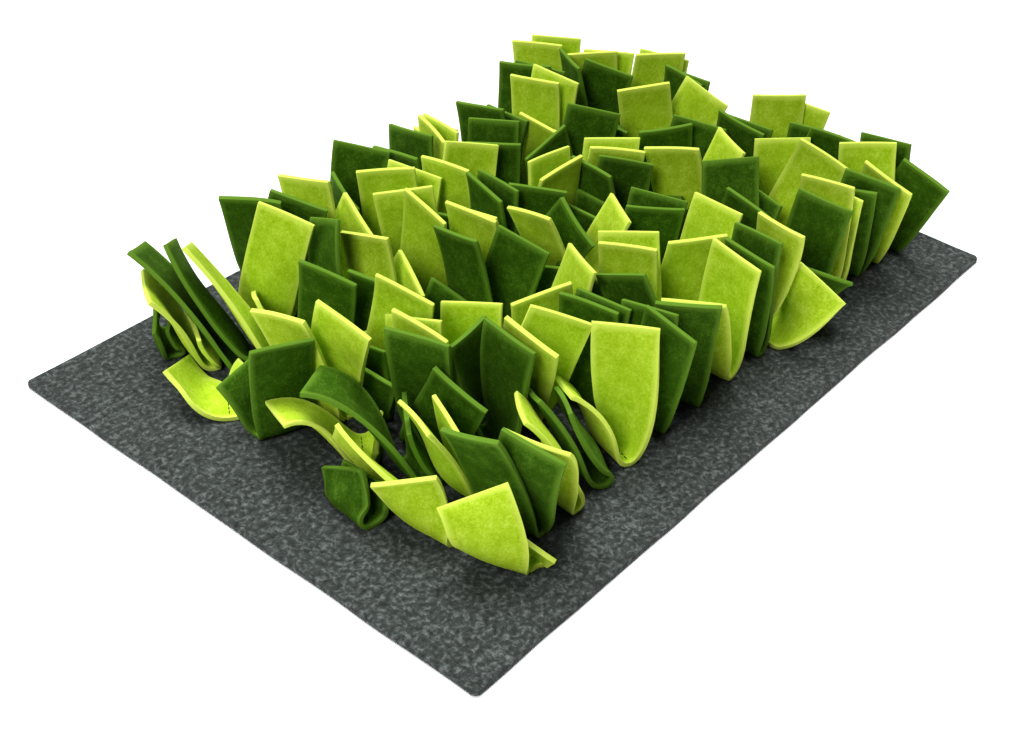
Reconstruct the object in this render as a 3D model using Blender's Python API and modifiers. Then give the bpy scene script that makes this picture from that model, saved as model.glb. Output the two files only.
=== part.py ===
"""Snuffle mat: folded felt strips stitched by their middles to a flat felt base.

Every strip is one rectangle of felt. It is folded in half over its line of
stitching, so it makes a U whose two cut ends stand up from the base.
"""

from collections import namedtuple
from math import cos, radians, sin

import bmesh
import bpy
from mathutils import Vector

# Sizes in metres.
MM = 0.001
BASE_LENGTH = 0.600
BASE_WIDTH = 0.400
BASE_THICKNESS = 0.004
STRIP_WIDTH = 0.042
STRIP_THICKNESS = 0.003
TOUCHING_GAP = 0.0003
FOLD_REACH = 0.014
TIP_REACH = 0.42
PINCH = 0.84
PINCH_ENDS = 0.50
CUP_DEPTH = 0.005
SEGMENTS_PER_END = 6
SEGMENTS_ACROSS = 2

UP = Vector((0.0, 0.0, 1.0))

# Felt colours, linear RGB.
LIME = (0.36, 0.55, 0.03)
DARK = (0.045, 0.12, 0.008)
ANTHRACITE = (0.055, 0.065, 0.057)

# One end of a strip: where the middle of its cut edge stands (mm), the heading
# of that edge seen from above, how far the end droops outward and how far the
# edge is rolled out of level (degrees).
End = namedtuple("End", "x y z heading droop roll", defaults=(0,))

# One strip: its felt, where its fold is stitched down (mm), the heading of the
# fold line (degrees) and its two ends.
Strip = namedtuple("Strip", "felt x y turn end_a end_b")

STRIPS = (
    # first row, along the front edge, from left to right
    Strip("lime", -212, -145, 97, End(-234, -137, 65, 149, -45), End(-210, -160, 27, 113, -25)),
    Strip("dark", -183, -131, 98, End(-200, -152, 88, 97, 15), End(-216, -118, 86, 100, 7)),
    Strip("lime", -147, -134, 76, End(-194, -149, 85, 103, 15), End(-160, -109, 69, 50, -28, -9)),
    Strip("dark", -113, -134, 60, End(-134, -98, 60, 55, 5, -18), End(-120, -112, 54, 50, 5, -16)),
    Strip("lime", -87, -132, 70, End(-106, -101, 50, 52, 30, -22), End(-82, -127, 98, 128, 6)),
    Strip("dark", -50, -128, 92, End(-58, -144, 95, 84, 5), End(-43, -118, 88, 92, 5)),
    Strip("dark", -14, -129, 102, End(-28, -137, 91, 122, 8), End(-26, -82, 88, 92, 7)),
    Strip("lime", 28, -128, 90, End(-19, -135, 87, 117, 12), End(35, -131, 97, 83, 4)),
    Strip("dark", 66, -128, 88, End(56, -129, 88, 84, 5), End(72, -125, 95, 80, 5)),
    Strip("lime", 96, -130, 27, End(88, -132, 97, 78, 4), End(99, -166, 60, 98, 28)),
    Strip("dark", 132, -128, 109, End(116, -158, 55, 115, 20), End(141, -136, 96, 97, 5)),
    Strip("lime", 170, -128, 92, End(164, -124, 97, 93, 4), End(174, -128, 88, 92, 6)),
    Strip("dark", 204, -127, 99, End(195, -144, 94, 112, 6), End(185, -131, 85, 106, 2)),
    Strip("lime", 234, -128, 92, End(207, -150, 92, 86, 8), End(236, -116, 97, 120, 5)),
    Strip("dark", 262, -130, 90, End(252, -160, 80, 88, 10), End(272, -114, 86, 88, 10)),
    # second row
    Strip("lime", -180, -87, 82, End(-210, -70, 70, 66, 8, -11), End(-196, -84, 70, 64, 5)),
    Strip("lime", -221, -98, 87, End(-235, -30, 53, 82, 10), End(-240, -90, 51, 123, 9)),
    Strip("dark", -241, -52, 80, End(-240, -40, 32, 86, 5), End(-229, -50, 26, 84, 5)),
    Strip("dark", -192, -57, 76, End(-221, 6, 63, 49, 42), End(-194, -49, 52, 48, 3)),
    Strip("dark", -136, -70, 62, End(-136, -80, 95, 86, 5), End(-137, -48, 83, 192, -12)),
    Strip("lime", -102, -61, 105, End(-129, -91, 96, 87, 5), End(-91, -85, 90, 129, 5)),
    Strip("lime", 12, -70, 100, End(3, -66, 90, 107, 5), End(25, -51, 85, 127, 5)),
    Strip("lime", 62, -82, 95, End(46, -94, 88, 143, 5), End(84, -84, 96, 84, 5)),
    Strip("dark", 118, -80, 95, End(150, -51, 92, 130, 5), End(112, -92, 88, 80, 5)),
    Strip("lime", 190, -76, 95, End(201, -100, 95, 101, 5), End(208, -60, 90, 130, 5)),
    Strip("dark", 234, -70, 95, End(234, -92, 94, 112, 5), End(243, -68, 88, 95, 5)),
    # third row
    Strip("dark", -166, -42, 104, End(-176, -41, 96, 110, 7), End(-176, -76, 74, 92, 9)),
    Strip("lime", -200, -17, 49, End(-244, 14, 45, 68, 45, -16), End(-193, -25, 24, 40, 7)),
    Strip("lime", -148, -20, 90, End(-168, -36, 98, 94, 1), End(-140, -4, 74, 101, 5)),
    Strip("lime", -48, -50, 100, End(-72, -53, 82, 150, 5), End(-30, -53, 90, 61, 5)),
    Strip("lime", 150, -28, 90, End(175, -35, 92, 60, 5), End(126, -14, 96, 112, 5)),
    Strip("dark", 205, -21, 91, End(204, -25, 92, 89, 5), End(216, -24, 88, 100, 5)),
    Strip("lime", 252, -32, 109, End(258, -25, 96, 131, -2), End(275, -40, 88, 110, 5)),
    # fourth row
    Strip("lime", -184, 32, 96, End(-192, 5, 94, 98, 5, 14), End(-210, 45, 87, 104, 5, 6)),
    Strip("dark", -60, 3, 90, End(-72, 22, 95, 86, 5), End(-43, -14, 93, 97, 5)),
    Strip("lime", 20, -12, 80, End(47, -28, 85, 54, 5), End(-13, 7, 92, 90, 5)),
    Strip("dark", 85, 9, 100, End(99, 6, 89, 137, -2), End(75, 20, 88, 80, 5)),
    # fifth row
    Strip("dark", -218, 37, 161, End(-225, 67, 44, 170, 21), End(-224, 26, 81, 158, 14)),
    Strip("lime", -224, 83, 53, End(-234, 121, 24, 3, -21, -33), End(-205, 78, 21, 73, 1)),
    Strip("dark", -145, 72, 95, End(-158, 54, 90, 106, 5), End(-117, 98, 94, 70, 5)),
    Strip("lime", -98, 62, 90, End(-104, 75, 85, 96, 5), End(-92, 42, 64, 68, 5, 15)),
    Strip("lime", -43, 75, 132, End(-55, 86, 95, 134, 5), End(-61, 59, 96, 79, -1, -20)),
    Strip("dark", 5, 48, 90, End(-8, 52, 92, 75, 5), End(12, 55, 88, 82, 5)),
    Strip("lime", 60, 42, 150, End(67, 54, 88, 174, 5), End(52, 30, 92, 175, 5)),
    Strip("dark", 115, 68, 120, End(137, 66, 95, 132, 5), End(91, 76, 80, 169, 5)),
    Strip("lime", 208, 48, 110, End(191, 59, 97, 140, 5), End(233, 26, 90, 99, 5)),
    Strip("dark", 240, 55, 90, End(241, 54, 92, 78, 5), End(255, 58, 86, 85, 5)),
    # back row
    Strip("lime", -198, 133, 61, End(-226, 156, 64, 58, 17), End(-206, 136, 33, 63, 8)),
    Strip("dark", -187, 107, 58, End(-194, 167, 80, 58, 10), End(-212, 181, 77, 60, 10)),
    Strip("lime", -168, 84, 50, End(-191, 153, 82, 66, 3), End(-168, 116, 48, 63, 7)),
    Strip("lime", -142, 137, 110, End(-135, 116, 98, 110, -11), End(-132, 125, 80, 108, 2)),
    Strip("dark", -115, 158, 95, End(-140, 147, 98, 127, 5), End(-111, 130, 92, 114, 5)),
    Strip("lime", -88, 128, 90, End(-92, 146, 95, 103, 5), End(-82, 102, 80, 77, 5)),
    Strip("dark", -48, 150, 90, End(-66, 132, 80, 70, 5), End(-26, 154, 92, 129, 5)),
    Strip("lime", 10, 94, 110, End(-2, 94, 92, 97, 5), End(34, 100, 92, 150, 5)),
    Strip("dark", 60, 98, 109, End(69, 109, 95, 106, 5), End(56, 98, 84, 123, 7)),
    Strip("lime", 150, 125, 95, End(144, 131, 95, 106, 5), End(160, 122, 97, 100, 5)),
    Strip("lime", 206, 164, 110, End(197, 172, 95, 118, 5), End(218, 168, 95, 141, 5)),
    Strip("dark", 205, 122, 80, End(193, 135, 95, 60, 5), End(208, 105, 92, 112, 5)),
)


def make_material(name, colour):
    """Matt felt of one colour."""
    material = bpy.data.materials.new(name)
    material.use_nodes = True
    shader = material.node_tree.nodes["Principled BSDF"]
    shader.inputs["Base Color"].default_value = (*colour, 1.0)
    shader.inputs["Roughness"].default_value = 0.95
    shader.inputs["Metallic"].default_value = 0.0
    return material


def level(heading):
    """Level unit vector at a heading in degrees from +X."""
    return Vector((cos(radians(heading)), sin(radians(heading)), 0.0))


def smooth(value):
    """Ease from 0 to 1."""
    value = min(max(value, 0.0), 1.0)
    return value * value * (3.0 - 2.0 * value)


def end_line(root, outward, across, end):
    """Stations from the fold to one cut edge: point, direction and width direction."""
    tip = Vector((end.x, end.y, end.z)) * MM
    chord = tip - root
    lean = chord.normalized()
    edge = level(end.heading) * cos(radians(end.roll)) + UP * sin(radians(end.roll))
    if edge.dot(across) < 0.0:
        edge = -edge
    edge = (edge - lean * edge.dot(lean)).normalized()
    side = lean.cross(edge)
    if side.dot(outward) < 0.0:
        side = -side
    arrival = lean * cos(radians(end.droop)) + side * sin(radians(end.droop))
    handles = (root, root + outward * FOLD_REACH, tip - arrival * chord.length * TIP_REACH, tip)
    stations = []
    for step in range(SEGMENTS_PER_END + 1):
        t = step / SEGMENTS_PER_END
        u = 1.0 - t
        point = (handles[0] * u ** 3 + handles[1] * 3 * u * u * t
                 + handles[2] * 3 * u * t * t + handles[3] * t ** 3)
        along = ((handles[1] - handles[0]) * u * u + (handles[2] - handles[1]) * 2 * u * t
                 + (handles[3] - handles[2]) * t * t).normalized()
        wide = across.lerp(edge, smooth(t))
        wide = (wide - along * wide.dot(along)).normalized()
        stations.append((point, along, wide, t))
    return stations


def strip_rows(strip):
    """Rows of points across the strip, from one cut edge over the fold to the other."""
    root = Vector((strip.x * MM, strip.y * MM,
                   BASE_THICKNESS + TOUCHING_GAP + STRIP_THICKNESS / 2))
    across = level(strip.turn)
    outward = Vector((across.y, -across.x, 0.0))
    first, second = strip.end_a, strip.end_b
    reach_first = Vector((first.x, first.y, 0.0)).dot(outward)
    reach_second = Vector((second.x, second.y, 0.0)).dot(outward)
    if reach_first < reach_second:
        first, second = second, first
    rows = []
    for end, way in ((first, outward), (second, -outward)):
        for point, along, wide, t in end_line(root, way, across, end):
            if way is outward or t > 0.0:
                inward = (along if way is outward else -along).cross(wide)
                half = STRIP_WIDTH / 2 * (PINCH + (1 - PINCH) * smooth(t / PINCH_ENDS))
                cup = CUP_DEPTH * 4 * smooth(t / 0.5) * smooth((1 - t) / 0.5) * 0.25
                row = []
                for step in range(SEGMENTS_ACROSS + 1):
                    q = 2 * step / SEGMENTS_ACROSS - 1
                    spot = point + wide * half * q + inward * cup * (q * q - 0.5)
                    spot.z = max(spot.z, root.z)
                    row.append(spot)
                rows.append(row)
        if way is outward:
            rows.reverse()
    return rows


def make_strip(number, strip, collection, material):
    """A grid bent over the rows, given its thickness by Solidify."""
    rows = strip_rows(strip)
    mesh = bpy.data.meshes.new("strip")
    shape = bmesh.new()
    bmesh.ops.create_grid(shape, x_segments=SEGMENTS_ACROSS, y_segments=len(rows) - 1, size=0.5)
    shape.verts.ensure_lookup_table()
    for vertex in shape.verts:
        column = round((vertex.co.x + 0.5) * SEGMENTS_ACROSS)
        line = round((vertex.co.y + 0.5) * (len(rows) - 1))
        vertex.co = rows[line][column]
    shape.to_mesh(mesh)
    shape.free()
    mesh.materials.append(material)
    piece = bpy.data.objects.new(f"strip_{number:02d}_{strip.felt}", mesh)
    collection.objects.link(piece)
    solidify = piece.modifiers.new("thickness", "SOLIDIFY")
    solidify.thickness = STRIP_THICKNESS
    solidify.offset = 0.0
    return piece


def make_base(collection, material):
    """The flat rectangle that every strip is stitched to."""
    mesh = bpy.data.meshes.new("base_mat")
    shape = bmesh.new()
    bmesh.ops.create_cube(shape, size=1.0)
    bmesh.ops.scale(shape, vec=(BASE_LENGTH, BASE_WIDTH, BASE_THICKNESS), verts=shape.verts)
    bmesh.ops.translate(shape, vec=(0.0, 0.0, BASE_THICKNESS / 2), verts=shape.verts)
    shape.to_mesh(mesh)
    shape.free()
    mesh.materials.append(material)
    piece = bpy.data.objects.new("base_mat", mesh)
    collection.objects.link(piece)
    return piece


for old in list(bpy.data.objects):
    bpy.data.objects.remove(old, do_unlink=True)
parts = bpy.data.collections.new("snuffle_mat")
bpy.context.scene.collection.children.link(parts)
felts = {"lime": make_material("lime_felt", LIME), "dark": make_material("dark_green_felt", DARK)}
make_base(parts, make_material("anthracite_felt", ANTHRACITE))
for index, row in enumerate(STRIPS, start=1):
    make_strip(index, row, parts, felts[row.felt])
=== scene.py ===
from collections import namedtuple
from math import cos, radians, sin

import bmesh
import bpy
import numpy as np
from mathutils import Matrix, Vector, noise


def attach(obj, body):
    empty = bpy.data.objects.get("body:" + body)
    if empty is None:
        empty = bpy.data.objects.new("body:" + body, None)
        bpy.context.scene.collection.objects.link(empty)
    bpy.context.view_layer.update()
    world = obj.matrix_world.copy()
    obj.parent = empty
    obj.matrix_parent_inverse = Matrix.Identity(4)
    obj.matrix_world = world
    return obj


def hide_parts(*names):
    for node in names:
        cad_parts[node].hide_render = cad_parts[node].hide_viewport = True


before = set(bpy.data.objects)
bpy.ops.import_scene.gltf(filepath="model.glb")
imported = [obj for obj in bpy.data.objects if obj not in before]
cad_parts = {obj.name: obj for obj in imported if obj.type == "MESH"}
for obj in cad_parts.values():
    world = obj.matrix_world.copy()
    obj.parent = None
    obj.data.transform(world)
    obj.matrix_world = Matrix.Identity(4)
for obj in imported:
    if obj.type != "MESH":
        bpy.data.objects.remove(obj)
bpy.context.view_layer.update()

MM = 0.001


# --- Base mat ------------------------------------------------------------------------------------
# One rectangle of anthracite needle felt, 600 by 400 by 4 mm: black, grey and white fibres that
# barbed needles have punched into one matted sheet. It is cut with a blade, so its edges are
# square with loose ends of fibre, and it lies flat and holds everything else.
BASE_LENGTH = 0.600
BASE_WIDTH = 0.400
BASE_THICKNESS = 0.004
BASE_FREE = 0.0003          # left out of the thickness, as room for the unevenness of both faces
BASE_ROUNDING = 0.0008      # of the cut edge
BASE_CELL = 0.004           # the grid that carries its unevenness
BASE_WANDER = 0.0008        # how far the cut wanders from a straight line
BASE_WANDER_WAVES = 22      # in each metre
WANDER_LAYERS = 5.0, 7.0    # where in the noise its wander along X and along Y is read
BASE_CORNER = 0.00125       # how far a handled corner is worn back, along each edge
BASE_LIFT = 0.00012         # how far the face rises and sinks
BASE_LIFT_WAVES = 18        # in each metre
GRID_RIM = 0.4999           # a grid runs from -0.5 to 0.5, and past this is its edge
NEEDLE_SHADES = ((0.38, "#161a19"), (0.58, "#373c3a"), (0.86, "#787e7c"))
NEEDLE_FLECK = 3.6 * MM     # a tuft of one fibre colour
NEEDLE_SWIRL = 6.0 * MM     # how far the needles drag the tufts about
NEEDLE_FIBRE = 0.9 * MM     # real fibres are 0.03 mm across, so they are drawn coarser
NEEDLE_HEADINGS = 25, 95, 150       # degrees, the ways in which loose fibres lie
NEEDLE_DRAW = 0.16          # a fibre's width as a share of its length
FLECK_SHARE = 0.85          # of the felt's tone that comes from its tufts
FIBRE_SHARE = 0.22          # and from the loose fibres on them
FIBRE_FLOOR = 0.03          # the tone that the darkest fibre still has


def linear(code):
    """An sRGB hex colour as linear RGBA."""
    parts = [int(code[i:i + 2], 16) / 255 for i in (1, 3, 5)]
    return (*[c / 12.92 if c <= 0.04045 else ((c + 0.055) / 1.055) ** 2.4 for c in parts], 1.0)


def new_material(name):
    """A new material: itself, its nodes and its shader."""
    material = bpy.data.materials.new(name)
    material.use_nodes = True
    return material, material.node_tree, material.node_tree.nodes["Principled BSDF"]


def add(tree, kind, inputs=None, **settings):
    """Add one node with its settings, its input values and its links."""
    made = tree.nodes.new(kind)
    for name, value in settings.items():
        setattr(made, name, value)
    for name, value in (inputs or {}).items():
        if isinstance(value, bpy.types.NodeSocket):
            tree.links.new(value, made.inputs[name])
        else:
            made.inputs[name].default_value = value
    return made


def grain(tree, place, size, detail, roughness, swirl=0.0):
    """Noise from 0 to 1 whose grains are of this size."""
    inputs = {"Vector": place, "Scale": 1 / size, "Detail": detail, "Roughness": roughness,
              "Distortion": swirl}
    return add(tree, "ShaderNodeTexNoise", inputs).outputs["Fac"]


def plus_share(tree, value, share, rest):
    """A share of one value added to the rest."""
    return add(tree, "ShaderNodeMath", {0: value, 1: share, 2: rest},
               operation="MULTIPLY_ADD").outputs[0]


def shaded(tree, tone, shades):
    """Colour by tone, from the darkest shade to the palest: pairs of a tone and its colour."""
    ramp = add(tree, "ShaderNodeValToRGB", {"Fac": tone})
    stops = ramp.color_ramp.elements
    for stop, (place, code) in zip(stops, (shades[0], shades[-1])):
        stop.position, stop.color = place, linear(code)
    for place, code in shades[1:-1]:
        stops.new(place).color = linear(code)
    return ramp.outputs["Color"]


def roughen(tree, shader, height, strength, depth):
    """Raise the surface by a height from 0 to 1."""
    bump = add(tree, "ShaderNodeBump", {"Height": height, "Strength": strength, "Distance": depth})
    tree.links.new(bump.outputs["Normal"], shader.inputs["Normal"])


def needle_felt():
    """Anthracite needle felt: matt, mottled in flecks of 2 to 4 mm, with a hairy surface."""
    material, tree, shader = new_material("anthracite_needle_felt")
    place = add(tree, "ShaderNodeTexCoord").outputs["Object"]
    bent = add(tree, "ShaderNodeTexNoise",
               {"Vector": place, "Scale": 0.5 / NEEDLE_FLECK, "Detail": 2.0})
    shift = add(tree, "ShaderNodeVectorMath", {0: bent.outputs["Color"], 1: (NEEDLE_SWIRL,) * 3},
                operation="MULTIPLY")
    matted = add(tree, "ShaderNodeVectorMath", {0: place, 1: shift.outputs[0]}).outputs[0]
    fleck = grain(tree, matted, NEEDLE_FLECK, 5.0, 0.6)
    strands = []
    for heading in NEEDLE_HEADINGS:
        lie = add(tree, "ShaderNodeMapping",
                  {"Vector": matted, "Rotation": (0, 0, radians(heading)),
                   "Scale": (1.0, NEEDLE_DRAW, 1.0)}).outputs[0]
        strands.append(grain(tree, lie, NEEDLE_FIBRE, 2.0, 0.6))
    crossed = strands[0]
    for strand in strands[1:]:
        crossed = add(tree, "ShaderNodeMath", {0: crossed, 1: strand},
                      operation="MAXIMUM").outputs[0]
    tone = plus_share(tree, fleck, FLECK_SHARE,
                      plus_share(tree, crossed, FIBRE_SHARE, FIBRE_FLOOR))
    tree.links.new(shaded(tree, tone, NEEDLE_SHADES), shader.inputs["Base Color"])
    roughen(tree, shader, tone, 0.9, 0.8 * MM)
    shader.inputs["Roughness"].default_value = 0.95
    shader.inputs["Specular IOR Level"].default_value = 0.15
    shader.inputs["Sheen Weight"].default_value = 0.12
    shader.inputs["Sheen Roughness"].default_value = 0.6
    return material


def finish_felt(mesh, name, thickness, round_over, material):
    """Give a bent sheet its thickness and softly rounded cut edges."""
    piece = bpy.data.objects.new(name, mesh)
    bpy.context.scene.collection.objects.link(piece)
    mesh.materials.append(material)
    mesh.polygons.foreach_set("use_smooth", [True] * len(mesh.polygons))
    body = piece.modifiers.new("felt", "SOLIDIFY")
    body.thickness = thickness
    body.offset = 0.0
    cut = piece.modifiers.new("cut edge", "BEVEL")
    cut.width = round_over
    cut.segments = 2
    cut.limit_method = "ANGLE"
    cut.angle_limit = radians(50)
    return piece


across, along = round(BASE_LENGTH / BASE_CELL), round(BASE_WIDTH / BASE_CELL)
base_mesh = bpy.data.meshes.new("felt_base")
sheet = bmesh.new()
bmesh.ops.create_grid(sheet, x_segments=across, y_segments=along, size=0.5)
for vertex in sheet.verts:
    x, y = vertex.co.x * BASE_LENGTH, vertex.co.y * BASE_WIDTH
    edge_x, edge_y = abs(vertex.co.x) > GRID_RIM, abs(vertex.co.y) > GRID_RIM
    wander = [noise.noise(Vector((x, y, layer)) * BASE_WANDER_WAVES) * BASE_WANDER
              for layer in WANDER_LAYERS]
    inset = Vector((-1 if x > 0 else 1, -1 if y > 0 else 1, 0.0))
    x += (wander[0] + BASE_WANDER * inset.x) if edge_x else 0.0
    y += (wander[1] + BASE_WANDER * inset.y) if edge_y else 0.0
    if edge_x and edge_y:
        x, y = x + BASE_CORNER * inset.x, y + BASE_CORNER * inset.y
    lift = noise.noise(Vector((x, y, 3.0)) * BASE_LIFT_WAVES) * BASE_LIFT
    vertex.co = Vector((x, y, BASE_THICKNESS / 2 + lift))
sheet.to_mesh(base_mesh)
sheet.free()
base = finish_felt(base_mesh, "felt_base", BASE_THICKNESS - BASE_FREE, BASE_ROUNDING,
                   needle_felt())
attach(base, "root")
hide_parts("base_mat")


# --- Felt strips ---------------------------------------------------------------------------------
# The pile is strips of pressed felt in lime and dark green, cut with shears from 3 mm sheet, 42 mm
# wide. Each is folded over its own middle, sewn to the base along the fold, and its two cut ends
# stand up and lean on their neighbours.
STRIP_WIDTH = 0.042
STRIP_THICKNESS = 0.003
STRIP_ROUNDING = 0.0007     # of the cut edge
TOUCHING_GAP = 0.0003       # between a fold and the base, as between their solids
FOLD_REACH = 0.014          # how far the fold runs along the base before it turns up
TIP_REACH = 0.42            # how much of an end's length follows its lean at the tip
PINCH = 0.84                # the seam gathers the fold to this share of the width
PINCH_ENDS = 0.50           # the share of an end's height where the gathering is gone
CUP_DEPTH = 0.005           # how deep an end cups across its width, most at half its height
CURL = 0.0014               # how far the long edges of an end may curl
SLANT = 0.0022              # how far a cut end may be out of square
RIPPLE = 0.0005             # the felt's own unevenness
RIPPLE_WAVES = 38           # in each metre
RIPPLE_STEP = 3.1           # takes each strip's ripples from another place in the noise
CELLS_UP = 22               # grid cells from the fold to a cut end
CELLS_ACROSS = 10
LIME_SHADES = ((0.36, "#8fad12"), (0.49, "#a8c72c"), (0.66, "#cde062"))
DARK_SHADES = ((0.36, "#274405"), (0.49, "#395a0c"), (0.66, "#60822b"))
FELT_CLOUD = 9.0 * MM       # uneven dye across the sheet
FELT_PILL = 1.6 * MM        # matted tufts on the face
FELT_FIBRE = 0.5 * MM       # real fibres are 0.02 mm across, so they are drawn coarser
CLOUD_SHARE, PILL_SHARE, FELT_FIBRE_SHARE = 0.28, 0.45, 0.25       # of the felt's tone
UP = Vector((0.0, 0.0, 1.0))

# One end of a strip: where the middle of its cut edge stands (mm), the heading of that edge seen
# from above, how far the end droops outward and how far its edge is rolled out of level (degrees).
End = namedtuple("End", "x y z heading droop roll", defaults=(0,))

# One strip: the number of its solid in the frame, or None for a strip of the pile that has none,
# its felt, where its fold is sewn down (mm), the heading of the fold line (degrees) and its ends.
Strip = namedtuple("Strip", "solid felt x y turn end_a end_b")


def pressed_felt(name, shades):
    """Pressed felt: matt and woolly, faintly cloudy in colour, with a painted highlight in its
    palest shade along every cut edge.
    """
    material, tree, shader = new_material(name)
    pale = linear(shades[-1][1])
    place = add(tree, "ShaderNodeTexCoord").outputs["Object"]
    cloud = grain(tree, place, FELT_CLOUD, 3.0, 0.6)
    pill = grain(tree, place, FELT_PILL, 4.0, 0.7, 0.8)
    fibre = grain(tree, place, FELT_FIBRE, 3.0, 0.7, 1.5)
    woolly = plus_share(tree, pill, PILL_SHARE, 0.0)
    woolly = plus_share(tree, fibre, FELT_FIBRE_SHARE, woolly)
    tone = plus_share(tree, cloud, CLOUD_SHARE, woolly)
    # Painted highlight: the rim of each strip is blended to the palest shade, standing in for light
    # caught by its cut edges.
    highlight_mask = add(tree, "ShaderNodeAttribute", attribute_name="painted_rim_highlight").outputs["Fac"]
    blend = add(tree, "ShaderNodeMix", {0: highlight_mask, 6: shaded(tree, tone, shades), 7: pale},
                data_type="RGBA")
    tree.links.new(blend.outputs[2], shader.inputs["Base Color"])
    roughen(tree, shader, woolly, 0.6, 0.5 * MM)
    shader.inputs["Roughness"].default_value = 0.92
    shader.inputs["Specular IOR Level"].default_value = 0.12
    shader.inputs["Sheen Weight"].default_value = 0.35
    shader.inputs["Sheen Roughness"].default_value = 0.5
    shader.inputs["Sheen Tint"].default_value = pale
    return material


FELTS = {
    "lime": pressed_felt("lime_pressed_felt", LIME_SHADES),
    "dark": pressed_felt("dark_green_pressed_felt", DARK_SHADES),
}


def level(heading):
    """Level unit vector at a heading in degrees from +X."""
    return Vector((cos(radians(heading)), sin(radians(heading)), 0.0))


def smooth(value):
    """Ease from 0 to 1."""
    value = min(max(value, 0.0), 1.0)
    return value * value * (3.0 - 2.0 * value)


def end_line(root, outward, fold, end):
    """Stations from the fold to one cut edge: point, direction, width direction and share."""
    tip = Vector((end.x, end.y, end.z)) * MM
    chord = tip - root
    lean = chord.normalized()
    edge = level(end.heading) * cos(radians(end.roll)) + UP * sin(radians(end.roll))
    if edge.dot(fold) < 0.0:
        edge = -edge
    edge = (edge - lean * edge.dot(lean)).normalized()
    side = lean.cross(edge)
    if side.dot(outward) < 0.0:
        side = -side
    arrival = lean * cos(radians(end.droop)) + side * sin(radians(end.droop))
    # A Bezier curve that leaves the fold level and reaches the tip with its lean and droop.
    a, b, c, d = root, root + outward * FOLD_REACH, tip - arrival * chord.length * TIP_REACH, tip
    stations = []
    for step in range(CELLS_UP + 1):
        t = step / CELLS_UP
        u = 1.0 - t
        point = a * u ** 3 + b * 3 * u * u * t + c * 3 * u * t * t + d * t ** 3
        ahead = ((b - a) * u * u + (c - b) * 2 * u * t + (d - c) * t * t).normalized()
        wide = fold.lerp(edge, smooth(t))
        wide = (wide - ahead * wide.dot(ahead)).normalized()
        stations.append((point, ahead, wide, t))
    return stations


def strip_rows(strip, seed):
    """Rows of points across a strip, from one cut edge over the fold to the other."""
    chance = np.random.default_rng(seed)
    root = Vector((strip.x * MM, strip.y * MM, BASE_THICKNESS + TOUCHING_GAP + STRIP_THICKNESS / 2))
    fold = level(strip.turn)
    outward = Vector((fold.y, -fold.x, 0.0))
    first, second = strip.end_a, strip.end_b
    span = Vector((second.x - first.x, second.y - first.y, 0.0))
    if span.dot(outward) > 0.0:
        first, second = second, first
    rows = []
    for end, way in ((first, outward), (second, -outward)):
        curl, slant = chance.uniform(-CURL, CURL), chance.uniform(-SLANT, SLANT)
        for point, ahead, wide, t in end_line(root, way, fold, end):
            if way is outward or t > 0.0:
                inward = (ahead if way is outward else -ahead).cross(wide)
                # The cup is deepest at half height. The curl, the slant and the ripple grow in
                # towards the cut end.
                half = STRIP_WIDTH / 2 * (PINCH + (1 - PINCH) * smooth(t / PINCH_ENDS))
                cup = CUP_DEPTH * smooth(t / 0.5) * smooth((1 - t) / 0.5)
                cup += curl * smooth(t * 1.6 - 0.6)
                row = []
                for step in range(CELLS_ACROSS + 1):
                    q = 2 * step / CELLS_ACROSS - 1
                    spot = point + wide * half * q + inward * cup * (q * q - 0.5)
                    spot += ahead * slant * q * smooth(t * 2 - 1)
                    bend = noise.noise(spot * RIPPLE_WAVES + Vector((seed * RIPPLE_STEP, 0, 0)))
                    spot += inward * bend * RIPPLE * smooth(t * 4)
                    spot.z = max(spot.z, root.z)
                    row.append(spot)
                rows.append(row)
        if way is outward:
            rows.reverse()
    return rows


def edges_used_once(mesh):
    """The edges around the outside of an open sheet."""
    count = {}
    for face in mesh.polygons:
        for key in face.edge_keys:
            count[key] = count.get(key, 0) + 1
    return [key for key, uses in count.items() if uses == 1]


def make_strip(strip, number):
    """One folded strip, standing for its solid where it has one."""
    name = f"felt_strip_{number:02d}" if strip.solid else f"felt_pile_{number:02d}"
    rows = strip_rows(strip, number)
    mesh = bpy.data.meshes.new(name)
    shape = bmesh.new()
    bmesh.ops.create_grid(shape, x_segments=CELLS_ACROSS, y_segments=len(rows) - 1, size=0.5)
    for vertex in shape.verts:
        column = round((vertex.co.x + 0.5) * CELLS_ACROSS)
        line = round((vertex.co.y + 0.5) * (len(rows) - 1))
        vertex.co = rows[line][column]
    shape.to_mesh(mesh)
    shape.free()
    # Marks the rim of the sheet, where the felt gets its painted highlight.
    highlight_mask = mesh.attributes.new("painted_rim_highlight", "FLOAT", "POINT")
    rim = {v for e in edges_used_once(mesh) for v in e}
    highlight_mask.data.foreach_set("value", [float(v in rim) for v in range(len(mesh.vertices))])
    piece = finish_felt(mesh, name, STRIP_THICKNESS, STRIP_ROUNDING, FELTS[strip.felt])
    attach(piece, "root")
    if strip.solid:
        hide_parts(f"strip_{strip.solid:02d}_{strip.felt}")


pile = []


def sew_down(row):
    """Make the strips of one row and add them to the pile."""
    for strip in row:
        pile.append(strip)
        make_strip(strip, len(pile))


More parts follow.
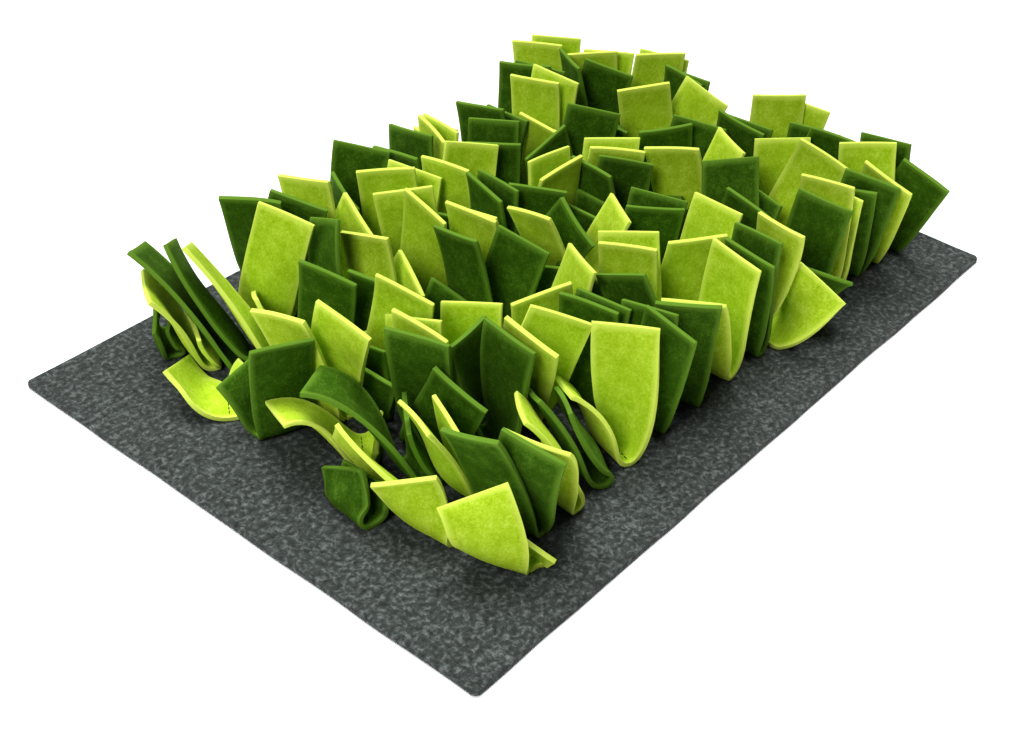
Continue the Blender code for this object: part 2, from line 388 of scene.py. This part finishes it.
# --- First row -----------------------------------------------------------------------------------
# The fifteen strips along the front edge, from left to right. Those at the left corner lean out
# over the base, and the rest stand nearly upright.
sew_down((
    Strip(1, "lime", -212, -145, 97, End(-234, -137, 65, 149, -45), End(-210, -160, 27, 113, -25)),
    Strip(2, "dark", -183, -131, 98, End(-200, -152, 88, 97, 15), End(-216, -118, 86, 100, 7)),
    Strip(3, "lime", -147, -134, 76, End(-194, -149, 85, 103, 15),
          End(-160, -109, 69, 50, -28, -9)),
    Strip(4, "dark", -113, -134, 60, End(-134, -98, 60, 55, 5, -18),
          End(-120, -112, 54, 50, 5, -16)),
    Strip(5, "lime", -87, -132, 70, End(-106, -101, 50, 52, 30, -22), End(-82, -127, 98, 128, 6)),
    Strip(6, "dark", -50, -128, 92, End(-58, -144, 95, 84, 5), End(-43, -118, 88, 92, 5)),
    Strip(7, "dark", -14, -129, 102, End(-28, -137, 91, 122, 8), End(-26, -82, 88, 92, 7)),
    Strip(8, "lime", 28, -128, 90, End(-19, -135, 87, 117, 12), End(35, -131, 97, 83, 4)),
    Strip(9, "dark", 66, -128, 88, End(56, -129, 88, 84, 5), End(72, -125, 95, 80, 5)),
    Strip(10, "lime", 96, -130, 27, End(88, -132, 97, 78, 4), End(99, -166, 60, 98, 28)),
    Strip(11, "dark", 132, -128, 109, End(116, -158, 55, 115, 20), End(141, -136, 96, 97, 5)),
    Strip(12, "lime", 170, -128, 92, End(164, -124, 97, 93, 4), End(174, -128, 88, 92, 6)),
    Strip(13, "dark", 204, -127, 99, End(195, -144, 94, 112, 6), End(185, -131, 85, 106, 2)),
    Strip(14, "lime", 234, -128, 92, End(207, -150, 92, 86, 8), End(236, -116, 97, 120, 5)),
    Strip(15, "dark", 262, -130, 90, End(252, -160, 80, 88, 10), End(272, -114, 86, 88, 10)),
))


# --- Second row ----------------------------------------------------------------------------------
# Behind the first. At its left, strips hang over the side of the pile and one long dark strip
# arches over the gap.
sew_down((
    Strip(16, "lime", -180, -87, 82, End(-210, -70, 70, 66, 8, -11), End(-196, -84, 70, 64, 5)),
    Strip(17, "lime", -221, -98, 87, End(-235, -30, 53, 82, 10), End(-240, -90, 51, 123, 9)),
    Strip(18, "dark", -241, -52, 80, End(-240, -40, 32, 86, 5), End(-229, -50, 26, 84, 5)),
    Strip(19, "dark", -192, -57, 76, End(-221, 6, 63, 49, 42), End(-194, -49, 52, 48, 3)),
    Strip(20, "dark", -136, -70, 62, End(-136, -80, 95, 86, 5), End(-137, -48, 83, 192, -12)),
    Strip(21, "lime", -102, -61, 105, End(-129, -91, 96, 87, 5), End(-91, -85, 90, 129, 5)),
    Strip(None, "dark", -60, -86, 100, End(-66, -87, 88, 102, 7), End(-51, -88, 84, 92, 5)),
    Strip(22, "lime", 12, -70, 100, End(3, -66, 90, 107, 5), End(25, -51, 85, 127, 5)),
    Strip(23, "lime", 62, -82, 95, End(46, -94, 88, 143, 5), End(84, -84, 96, 84, 5)),
    Strip(24, "dark", 118, -80, 95, End(150, -51, 92, 130, 5), End(112, -92, 88, 80, 5)),
    Strip(25, "lime", 190, -76, 95, End(201, -100, 95, 101, 5), End(208, -60, 90, 130, 5)),
    Strip(26, "dark", 234, -70, 95, End(234, -92, 94, 112, 5), End(243, -68, 88, 95, 5)),
))


# --- Third row -----------------------------------------------------------------------------------
# It stands close behind the second and leans every way. A short ribbon hangs out at its left.
sew_down((
    Strip(27, "dark", -166, -42, 104, End(-176, -41, 96, 110, 7), End(-176, -76, 74, 92, 9)),
    Strip(28, "lime", -200, -17, 49, End(-244, 14, 45, 68, 45, -16), End(-193, -25, 24, 40, 7)),
    Strip(29, "lime", -148, -20, 90, End(-168, -36, 98, 94, 1), End(-140, -4, 74, 101, 5)),
    Strip(None, "lime", -93, -20, 121, End(-119, -44, 50, 174, 95), End(-97, -16, 70, 114, 25)),
    Strip(30, "lime", -48, -50, 100, End(-72, -53, 82, 150, 5), End(-30, -53, 90, 61, 5)),
    Strip(None, "dark", 55, -42, 112, End(64, -46, 85, 134, 5), End(81, -37, 85, 116, 5)),
    Strip(31, "lime", 150, -28, 90, End(175, -35, 92, 60, 5), End(126, -14, 96, 112, 5)),
    Strip(32, "dark", 205, -21, 91, End(204, -25, 92, 89, 5), End(216, -24, 88, 100, 5)),
    Strip(33, "lime", 252, -32, 109, End(258, -25, 96, 131, -2), End(275, -40, 88, 110, 5)),
))


# --- Fourth row ----------------------------------------------------------------------------------
# The middle of the mat, where the strips stand loosest.
sew_down((
    Strip(34, "lime", -184, 32, 96, End(-192, 5, 94, 98, 5, 14), End(-210, 45, 87, 104, 5, 6)),
    Strip(35, "dark", -60, 3, 90, End(-72, 22, 95, 86, 5), End(-43, -14, 93, 97, 5)),
    Strip(36, "lime", 20, -12, 80, End(47, -28, 85, 54, 5), End(-13, 7, 92, 90, 5)),
    Strip(None, "dark", 29, 34, 99, End(10, -18, 85, 76, -1), End(27, 31, 85, 123, 3)),
    Strip(37, "dark", 85, 9, 100, End(99, 6, 89, 137, -2), End(75, 20, 88, 80, 5)),
    Strip(None, "dark", 167, 6, 120, End(155, 11, 92, 142, 11), End(182, -2, 92, 117, 7)),
    Strip(None, "lime", 105, 28, 133, End(98, 14, 95, 136, 1), End(120, 35, 88, 130, 5)),
))


# --- Fifth row -----------------------------------------------------------------------------------
# Behind the middle. At its left, two strips lean out over the base.
sew_down((
    Strip(38, "dark", -218, 37, 161, End(-225, 67, 44, 170, 21), End(-224, 26, 81, 158, 14)),
    Strip(39, "lime", -224, 83, 53, End(-234, 121, 24, 3, -21, -33), End(-205, 78, 21, 73, 1)),
    Strip(40, "dark", -145, 72, 95, End(-158, 54, 90, 106, 5), End(-117, 98, 94, 70, 5)),
    Strip(41, "lime", -98, 62, 90, End(-104, 75, 85, 96, 5), End(-92, 42, 64, 68, 5, 15)),
    Strip(42, "lime", -43, 75, 132, End(-55, 86, 95, 134, 5), End(-61, 59, 96, 79, -1, -20)),
    Strip(None, "lime", -33, 31, 77, End(-46, 31, 97, 96, 11), End(-36, 39, 90, 96, -13)),
    Strip(43, "dark", 5, 48, 90, End(-8, 52, 92, 75, 5), End(12, 55, 88, 82, 5)),
    Strip(44, "lime", 60, 42, 150, End(67, 54, 88, 174, 5), End(52, 30, 92, 175, 5)),
    Strip(45, "dark", 115, 68, 120, End(137, 66, 95, 132, 5), End(91, 76, 80, 169, 5)),
    Strip(46, "lime", 208, 48, 110, End(191, 59, 97, 140, 5), End(233, 26, 90, 99, 5)),
    Strip(47, "dark", 240, 55, 90, End(241, 54, 92, 78, 5), End(255, 58, 86, 85, 5)),
    Strip(None, "lime", 250, 90, 120, End(254, 87, 95, 140, 5), End(268, 92, 88, 130, 5)),
))


# --- Back row ------------------------------------------------------------------------------------
# Along the back edge, closest packed of all. Its left end folds outward over the corner.
sew_down((
    Strip(48, "lime", -198, 133, 61, End(-226, 156, 64, 58, 17), End(-206, 136, 33, 63, 8)),
    Strip(49, "dark", -187, 107, 58, End(-194, 167, 80, 58, 10), End(-212, 181, 77, 60, 10)),
    Strip(50, "lime", -168, 84, 50, End(-191, 153, 82, 66, 3), End(-168, 116, 48, 63, 7)),
    Strip(51, "lime", -142, 137, 110, End(-135, 116, 98, 110, -11), End(-132, 125, 80, 108, 2)),
    Strip(52, "dark", -115, 158, 95, End(-140, 147, 98, 127, 5), End(-111, 130, 92, 114, 5)),
    Strip(53, "lime", -88, 128, 90, End(-92, 146, 95, 103, 5), End(-82, 102, 80, 77, 5)),
    Strip(54, "dark", -48, 150, 90, End(-66, 132, 80, 70, 5), End(-26, 154, 92, 129, 5)),
    Strip(None, "lime", -32, 108, 100, End(-45, 112, 97, 130, 5), End(-14, 112, 85, 112, 5)),
    Strip(55, "lime", 10, 94, 110, End(-2, 94, 92, 97, 5), End(34, 100, 92, 150, 5)),
    Strip(None, "dark", 12, 136, 90, End(17, 146, 92, 93, 5), End(-8, 138, 86, 96, 5)),
    Strip(None, "lime", 42, 140, 80, End(33, 139, 90, 70, 5), End(50, 145, 86, 80, 5)),
    Strip(56, "dark", 60, 98, 109, End(69, 109, 95, 106, 5), End(56, 98, 84, 123, 7)),
    Strip(57, "lime", 150, 125, 95, End(144, 131, 95, 106, 5), End(160, 122, 97, 100, 5)),
    Strip(None, "dark", 163, 152, 98, End(159, 153, 95, 125, 9), End(175, 150, 89, 115, 2)),
    Strip(58, "lime", 206, 164, 110, End(197, 172, 95, 118, 5), End(218, 168, 95, 141, 5)),
    Strip(59, "dark", 205, 122, 80, End(193, 135, 95, 60, 5), End(208, 105, 92, 112, 5)),
    Strip(None, "lime", 228, 128, 110, End(220, 132, 92, 123, 5), End(236, 126, 90, 120, 5)),
))


# --- Strips between the rows ---------------------------------------------------------------------
# Fifteen more in the gaps between the rows. Most stand low, so that the taller ones hide all but
# their tips.
sew_down((
    Strip(None, "lime", -137, 23, 122, End(-139, 4, 91, 106, 14), End(-140, 40, 41, 101, -7)),
    Strip(None, "dark", -119, 43, 101, End(-133, 35, 81, 107, 5), End(-114, 45, 50, 92, 3)),
    Strip(None, "dark", 108, 140, 96, End(98, 148, 82, 104, 5), End(118, 136, 73, 89, 5)),
    Strip(None, "dark", 172, 76, 79, End(162, 72, 72, 92, 5), End(181, 83, 63, 75, 4)),
    Strip(None, "dark", -14, -35, 103, End(-23, -30, 68, 108, 5), End(-5, -37, 59, 94, 2)),
    Strip(None, "dark", 57, 5, 82, End(56, 9, 62, 88, -5), End(71, 8, 66, 87, -3)),
    Strip(None, "dark", -18, 72, 111, End(-25, 82, 66, 89, 5), End(-8, 64, 57, 77, 4)),
    Strip(None, "dark", 118, -19, 109, End(116, -18, 57, 104, 8), End(128, -7, 52, 88, 9)),
    Strip(None, "lime", 67, 157, 88, End(56, 159, 67, 88, 5), End(69, 165, 70, 85, 16)),
    Strip(None, "dark", -88, 18, 126, End(-102, 24, 35, 109, -4), End(-78, 16, 53, 88, 10)),
    Strip(None, "lime", 184, 30, 102, End(176, 33, 60, 95, 1), End(189, 25, 52, 79, 5)),
    Strip(None, "dark", 156, -69, 43, End(170, -71, 63, 78, 13), End(159, -57, 53, 66, 15)),
    Strip(None, "lime", 127, 109, 98, End(121, 106, 74, 86, 9), End(138, 112, 62, 89, 5)),
    Strip(None, "dark", -163, 12, 78, End(-174, 3, 46, 96, 6), End(-164, 18, 55, 90, 6)),
    Strip(None, "dark", -206, 162, 60, End(-217, 162, 38, 47, 5), End(-203, 163, 27, 45, 7)),
))


# --- Seam thread ---------------------------------------------------------------------------------
# Each strip is held by one line of lockstitch along its fold, in spun polyester thread as dark as
# the base. The stitches lie in the bottom of the folds.
STITCH_LENGTH = 3.4 * MM
STITCH_PITCH = 4.0 * MM
STITCHES_A_STRIP = 7
THREAD_RADIUS = 0.35 * MM
THREAD_RISE = 0.7           # a stitch's middle stands this share of its radius above the felt
THREAD_SHADES = ((0.0, "#2a2e2c"), (1.0, "#3a3f3d"))


def spun_thread():
    """Spun polyester thread: dull, with a little twist across each stitch."""
    material, tree, shader = new_material("spun_polyester_thread")
    place = add(tree, "ShaderNodeTexCoord").outputs["Object"]
    twist = add(tree, "ShaderNodeTexWave",
                {"Vector": place, "Scale": 0.3 / THREAD_RADIUS, "Distortion": 2.0},
                bands_direction="DIAGONAL").outputs["Fac"]
    tree.links.new(shaded(tree, twist, THREAD_SHADES), shader.inputs["Base Color"])
    roughen(tree, shader, twist, 0.5, 0.1 * MM)
    shader.inputs["Roughness"].default_value = 0.75
    return material


stitch_shape = bmesh.new()
bmesh.ops.create_uvsphere(stitch_shape, u_segments=8, v_segments=6, radius=1.0)
# Blender lists a sphere's corners in no fixed order, so they are sorted.
stitch_corners = sorted(stitch_shape.verts, key=lambda v: v.co.to_tuple(4))
stitch_points = [v.co.copy() for v in stitch_corners]
stitch_faces = sorted([stitch_corners.index(v) for v in f.verts] for f in stitch_shape.faces)
stitch_shape.free()
points, faces = [], []
for strip in pile:
    lie = Matrix.Rotation(radians(strip.turn), 4, "Z")
    for stitch in range(STITCHES_A_STRIP):
        shift = (stitch - (STITCHES_A_STRIP - 1) / 2) * STITCH_PITCH
        spot = Vector((strip.x * MM, strip.y * MM, 0.0)) + level(strip.turn) * shift
        spot.z = BASE_THICKNESS + TOUCHING_GAP + STRIP_THICKNESS + THREAD_RADIUS * THREAD_RISE
        shape = (Matrix.Translation(spot) @ lie
                 @ Matrix.Diagonal((STITCH_LENGTH / 2, THREAD_RADIUS, THREAD_RADIUS, 1.0)))
        faces += [[len(points) + corner for corner in face] for face in stitch_faces]
        points += [shape @ point for point in stitch_points]
thread_mesh = bpy.data.meshes.new("seam_thread")
thread_mesh.from_pydata(points, [], faces)
thread_mesh.polygons.foreach_set("use_smooth", [True] * len(thread_mesh.polygons))
thread_mesh.materials.append(spun_thread())
thread = bpy.data.objects.new("seam_thread", thread_mesh)
bpy.context.scene.collection.objects.link(thread)
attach(thread, "root")


# --- Studio --------------------------------------------------------------------------------------
# The mat lies on a wide plain white floor in soft light: an even light from above the back of the
# pile, a large lamp from the left, and pale surroundings.
FLOOR_WHITE = "#f7f7f7"
FLOOR_HALF = 60.0           # so wide that its edge is out of sight from any side
FLOOR_GAP = 0.0002          # below the mat, so that the two faces don't share a plane
LOOKED_AT = Vector((0.0, 0.0, 0.04))        # the middle of the pile

floor_mesh = bpy.data.meshes.new("studio_floor")
ground = bmesh.new()
bmesh.ops.create_grid(ground, x_segments=1, y_segments=1, size=FLOOR_HALF)
ground.to_mesh(floor_mesh)
ground.free()
paper, _, paper_shader = new_material("matt_white_paper")
paper_shader.inputs["Base Color"].default_value = linear(FLOOR_WHITE)
paper_shader.inputs["Roughness"].default_value = 1.0
paper_shader.inputs["Specular IOR Level"].default_value = 0.0
floor_mesh.materials.append(paper)
floor = bpy.data.objects.new("studio_floor", floor_mesh)
floor.location = (0.0, 0.0, -FLOOR_GAP)
bpy.context.scene.collection.objects.link(floor)


def aimed_light(name, kind, place, power):
    """A light at this place that looks at the middle of the pile."""
    light = bpy.data.objects.new(name, bpy.data.lights.new(name, kind))
    light.data.energy = power
    light.location = place
    light.rotation_euler = (LOOKED_AT - Vector(place)).to_track_quat("-Z", "Y").to_euler()
    bpy.context.scene.collection.objects.link(light)
    return light.data


overhead_light = aimed_light("overhead_light", "SUN", (0.25, 0.45, 1.40), 3.5)
overhead_light.angle = radians(38.0)        # wide, so that its shadows have soft edges
side_lamp = aimed_light("side_lamp", "AREA", (-1.85, -0.35, 1.80), 39.0)
side_lamp.shape = "SQUARE"
side_lamp.size = 1.0
surroundings = bpy.data.worlds.new("pale_surroundings")
surroundings.use_nodes = True
backdrop = surroundings.node_tree.nodes["Background"]
backdrop.inputs["Color"].default_value = (1.0, 1.0, 1.0, 1.0)
backdrop.inputs["Strength"].default_value = 0.10
bpy.context.scene.world = surroundings
bpy.context.scene.view_settings.view_transform = "Standard"
bpy.context.scene.view_settings.look = "Medium High Contrast"


# --- Camera --------------------------------------------------------------------------------------
# It looks down on the near corner of the mat from a little over a metre away.
CAMERA_TURN = -51.73        # degrees from looking along +Y
CAMERA_TILT = 36.79         # degrees down from level
CAMERA_ROLL = 3.11          # degrees
CAMERA_DISTANCE = 1.039
CAMERA_TARGET = Vector((-0.060, -0.023, 0.0))
CAMERA_LENS = 52.77         # mm
CAMERA_SENSOR = 36.0        # mm wide

turn, tilt, roll = (radians(a) for a in (CAMERA_TURN, CAMERA_TILT, CAMERA_ROLL))
ahead = Vector((-sin(turn) * cos(tilt), cos(turn) * cos(tilt), -sin(tilt)))
right = ahead.cross(UP).normalized()
up = right.cross(ahead)
right, up = right * cos(roll) + up * sin(roll), up * cos(roll) - right * sin(roll)
camera_data = bpy.data.cameras.new("camera")
camera_data.sensor_width = CAMERA_SENSOR
camera_data.lens = CAMERA_LENS
camera_data.clip_start = 0.01
camera = bpy.data.objects.new("camera", camera_data)
camera.matrix_world = Matrix.Translation(CAMERA_TARGET - ahead * CAMERA_DISTANCE) @ Matrix(
    (right, up, -ahead)).transposed().to_4x4()
bpy.context.scene.collection.objects.link(camera)
bpy.context.scene.camera = camera
